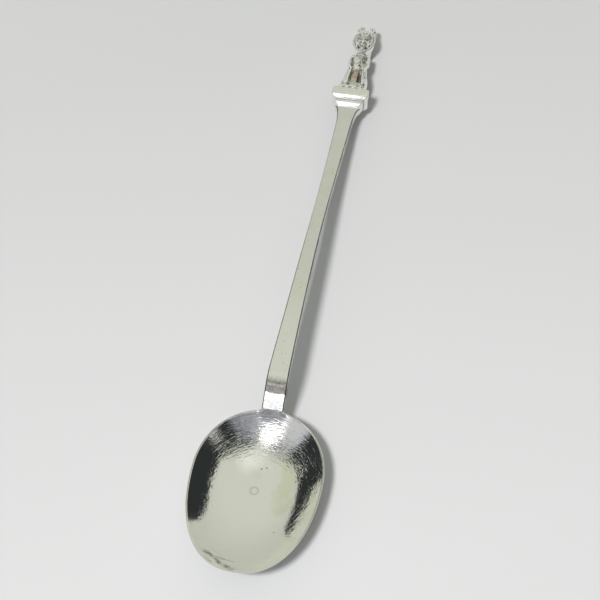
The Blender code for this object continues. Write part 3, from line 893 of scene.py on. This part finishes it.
def makePadRow(name, row):
    mesh = bpy.data.meshes.new(name)
    piece = bpy.data.objects.new(name, mesh)
    bpy.context.scene.collection.objects.link(piece)
    grown = piece.modifiers.new("row", "NODES")
    grown.node_group = padRow
    names = {item.name: item.identifier for item in padRow.interface.items_tree
             if item.item_type == "SOCKET" and item.in_out == "INPUT"}
    for label, value in (("Count", row["count"]), ("Seed", row["seed"]), ("Radius", row["radius"]),
                         ("From", math.radians(row["start"])), ("Sweep", math.radians(row["sweep"])),
                         ("Pad Size", row["size"]), ("Spread", row["spread"]),
                         ("Material", castSilver)):
        grown[names[label]] = value
    bakeModifiers(piece)
    mesh = piece.data
    mesh.transform(finialPlace @ Matrix.Translation((0, seatY, 0))
                   @ Matrix.Scale(mm, 4) @ Matrix.Translation(row["place"])
                   @ Matrix.Diagonal((*row["squash"], 1.0)))
    mesh.shade_smooth()
    return piece


padPieces = [makePadRow(name, row) for name, row in padRows.items()]
print("pads and ruff made")


for piece, node, slotName in (
        (bowlPiece, "bowl", "polished_silver"), (stemPiece, "stem", "polished_silver"),
        (collarPiece, "collar_plate", "plate_silver"),
        (capitalPiece, "capital_plate", "plate_silver"), (beastPiece, "figure", "cast_silver")):
    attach(piece, "root")
    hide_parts(node)
for piece in padPieces:
    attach(piece, "root")


table = dict(reach=2.5, far=(0.516, 0.521, 0.534, 1), near=(0.575, 0.580, 0.596, 1),
             lightFalloffAlong=(0.09, -0.09), lightFalloffAcross=4.0, patchScale=14.0, patchDrift=0.06,
             roughness=0.9, shine=0.1)


def makeFloor():
    mesh = bpy.data.meshes.new("table_top")
    reach = table["reach"]
    mesh.from_pydata([(-reach, -reach, 0), (reach, -reach, 0), (reach, reach, 0), (-reach, reach, 0)],
                     [], [(0, 1, 2, 3)])
    floor = bpy.data.objects.new("table_top", mesh)
    bpy.context.scene.collection.objects.link(floor)
    material, wire, shader, place = startMaterial("paleTable")
    shader.inputs["Metallic"].default_value = 0.0
    across, along, _ = wire.split(place)
    # painted light: the table is lighter towards the near side and to the right, as the key light
    # falls; the noise adds a random tone
    patchy = wire.drift(place, table["patchScale"], 2.0, 0.5, table["patchDrift"])
    shade = wire.calc("ADD", wire.ramp(along, *table["lightFalloffAlong"]), patchy)
    shade = wire.calc("MULTIPLY_ADD", across, table["lightFalloffAcross"], shade)
    wire.plug(shader.inputs["Base Color"], wire.mix(shade, table["far"], table["near"]))
    shader.inputs["Roughness"].default_value = table["roughness"]
    shader.inputs["Specular IOR Level"].default_value = table["shine"]
    mesh.materials.append(material)


makeFloor()
print("table made")

# places in the room are parts of a unit vector: x to the right, y to the far side, z up
room = dict(farWall=(0.52, 0.53, 0.465, 1), ceiling=(0.62, 0.635, 0.555, 1), ceilingAt=(0.0, 0.75),
            zenith=(0.78, 0.80, 0.73, 1), zenithWay=(66, 76), zenithAt=(0.42, 0.05),
            dark=(0.026, 0.030, 0.030, 1))
darkEnds = dict(middle=0.2, farBend=-0.95, farPower=2.6, nearBend=-2.0, nearPower=2.0,
                lean=-0.058, limit=0.80, flare=(0.70, 0.78, 0.0, 0.035), cutLean=-0.04,
                cutAt=(0.770, 0.735), fade=(-0.015, 0.015))
nearWall = dict(tone=(0.44, 0.45, 0.49, 1), dim=(0.12, 0.125, 0.15, 1), bright=(0.60, 0.61, 0.64, 1),
                brightAt=(-0.05, -0.7, 0.0, 0.8), top=-0.42, topBend=0.62, right=(1.75, 1.25),
                left=(-3.6, -2.2), nearest=0.05, mottleScale=13.0, mottleAt=(0.42, 0.58),
                band=(0.05, 0.05, 0.055, 1), bandUnder=(0.13, 0.07),
                bandAcross=(-0.06, 0.04, 0.55, 1.0), fade=(-0.012, 0.012))
glow = dict(tone=(2.2, 2.2, 2.2, 1), at=(1.4, 0.9), halo=(0.66, 0.67, 0.70, 1),
            haloAt=(3.4, 1.2, 0.0, 0.55), middle=(-0.20, -0.545, 0.0), reach=(0.22, 0.072),
            above=(0.0, 0.2))
sideLamp = dict(tone=(0.55, 0.55, 0.54, 1), way=(82, 27), at=(0.17, 0.05))


def towards(azimuth, elevation):
    # unit vector; azimuth 0 looks to -Y and 90 to +X
    a, e = math.radians(azimuth), math.radians(elevation)
    return math.sin(a) * math.cos(e), -math.cos(a) * math.cos(e), math.sin(e)


def addDarkEnds(wire, x, y, colour):
    # dark to the left and right, closing in towards the far and near sides
    offset = wire.calc("SUBTRACT", y, darkEnds["middle"])
    farBend = wire.calc("POWER", wire.calc("MAXIMUM", offset, 0.0), darkEnds["farPower"])
    nearBend = wire.calc("POWER", wire.calc("MAXIMUM", wire.calc("MULTIPLY", offset, -1.0), 0.0),
                         darkEnds["nearPower"])
    bend = wire.calc("MULTIPLY_ADD", farBend, darkEnds["farBend"],
                     wire.calc("MULTIPLY", nearBend, darkEnds["nearBend"]))
    limit = wire.calc("MULTIPLY_ADD", x, darkEnds["lean"], darkEnds["limit"])
    limit = wire.calc("ADD", limit, wire.ramp(y, *darkEnds["flare"]))
    beyond = wire.calc("SUBTRACT", wire.calc("ABSOLUTE", x), wire.calc("ADD", bend, limit))
    ahead = wire.ramp(wire.calc("MULTIPLY_ADD", x, darkEnds["cutLean"], y), *darkEnds["cutAt"])
    share = wire.calc("MULTIPLY", ahead, wire.ramp(beyond, *darkEnds["fade"]))
    return wire.mix(share, colour, room["dark"])


def addNearWall(wire, way, x, y, colour):
    # a dim mottled wall below the ceiling, dark at both ends, with a darker band along its top
    top = wire.calc("MULTIPLY_ADD", wire.calc("MULTIPLY", x, x), nearWall["topBend"], nearWall["top"])
    under = wire.calc("SUBTRACT", top, y)
    nearness = wire.calc("MAXIMUM", wire.calc("MULTIPLY", y, -1.0), nearWall["nearest"])
    sideways = wire.calc("DIVIDE", x, nearness)
    lit = wire.calc("MULTIPLY", wire.ramp(sideways, *nearWall["right"]),
                    wire.ramp(sideways, *nearWall["left"]))
    mottle = wire.ramp(wire.noise(way, nearWall["mottleScale"], 3.0, 0.65), *nearWall["mottleAt"])
    wall = wire.mix(mottle, nearWall["dim"], nearWall["tone"])
    wall = wire.mix(wire.ramp(x, *nearWall["brightAt"]), wall, nearWall["bright"])
    wall = wire.mix(lit, room["dark"], wall)
    band = wire.calc("MULTIPLY", wire.ramp(under, *nearWall["bandUnder"]),
                     wire.ramp(x, *nearWall["bandAcross"]))
    wall = wire.mix(band, wall, nearWall["band"])
    return wire.mix(wire.ramp(under, *nearWall["fade"]), colour, wall)


def addLamps(wire, way, z, colour):
    # an oval glow with a halo, seen only above the table, and a weak lamp to the right
    across, along = glow["reach"]
    offset = wire.vector("MULTIPLY", wire.vector("SUBTRACT", way, glow["middle"]),
                         (1 / across, 1 / along, 0.0))
    away = wire.vector("LENGTH", offset)
    above = wire.ramp(z, *glow["above"])
    for tone, at in ((glow["halo"], glow["haloAt"]), (glow["tone"], glow["at"])):
        colour = wire.mix(wire.calc("MULTIPLY", above, wire.ramp(away, *at)), colour, tone)
    lamp = wire.vector("DISTANCE", way, towards(*sideLamp["way"]))
    return wire.mix(wire.ramp(lamp, *sideLamp["at"]), colour, sideLamp["tone"])


def makeRoom():
    # pale overhead and at the far side, dark left and right, a dim near wall, then the lamps
    world = bpy.data.worlds.new("studio")
    bpy.context.scene.world = world
    world.use_nodes = True
    wire = Wiring(world.node_tree)
    way = wire.vector("NORMALIZE", wire.node("ShaderNodeTexCoord").outputs["Generated"])
    x, y, z = wire.split(way)
    colour = wire.mix(wire.ramp(z, *room["ceilingAt"]), room["farWall"], room["ceiling"])
    zenith = wire.vector("DISTANCE", way, towards(*room["zenithWay"]))
    colour = wire.mix(wire.ramp(zenith, *room["zenithAt"]), colour, room["zenith"])
    colour = addDarkEnds(wire, x, y, colour)
    colour = addNearWall(wire, way, x, y, colour)
    colour = addLamps(wire, way, z, colour)
    wire.plug(world.node_tree.nodes["Background"].inputs["Color"], colour)


makeRoom()

keyLight = dict(azimuth=-19, elevation=60, away=1.1, width=0.195, height=0.15, power=11.2,
                colour=(1.0, 0.99, 0.97))


def makeKeyLight():
    data = bpy.data.lights.new("key", "AREA")
    data.shape = "ELLIPSE"
    data.size, data.size_y = keyLight["width"], keyLight["height"]
    data.energy = keyLight["power"]
    data.color = keyLight["colour"]
    key = bpy.data.objects.new("key", data)
    bpy.context.scene.collection.objects.link(key)
    way = Vector(towards(keyLight["azimuth"], keyLight["elevation"]))
    key.location = way * keyLight["away"]
    key.rotation_euler = way.to_track_quat("Z", "Y").to_euler()
    key.visible_glossy = False                  # the room's own glow stands in for it there


makeKeyLight()
print("room and key light ready")

camera = dict(azimuth=13.93, elevation=55.80, roll=-2.95, distance=0.2890, lens=96.3,
              target=(-0.00086, -0.00404, 0.0))


def makeCamera():
    a, e, roll = (math.radians(camera[k]) for k in ("azimuth", "elevation", "roll"))
    forward = Vector((-math.sin(a) * math.cos(e), math.cos(a) * math.cos(e), -math.sin(e)))
    right = Vector((math.cos(a), math.sin(a), 0))
    up = right.cross(forward)
    turnedRight = right * math.cos(roll) + up * math.sin(roll)
    turnedUp = up * math.cos(roll) - right * math.sin(roll)
    data = bpy.data.cameras.new("view")
    data.lens = camera["lens"]
    data.sensor_width = 36.0
    data.clip_start = 0.01
    holder = bpy.data.objects.new("view", data)
    bpy.context.scene.collection.objects.link(holder)
    place = Matrix((turnedRight, turnedUp, -forward)).transposed().to_4x4()
    place.translation = Vector(camera["target"]) - forward * camera["distance"]
    holder.matrix_world = place
    bpy.context.scene.camera = holder


makeCamera()
bpy.context.scene.view_settings.view_transform = "Standard"
print("camera ready")
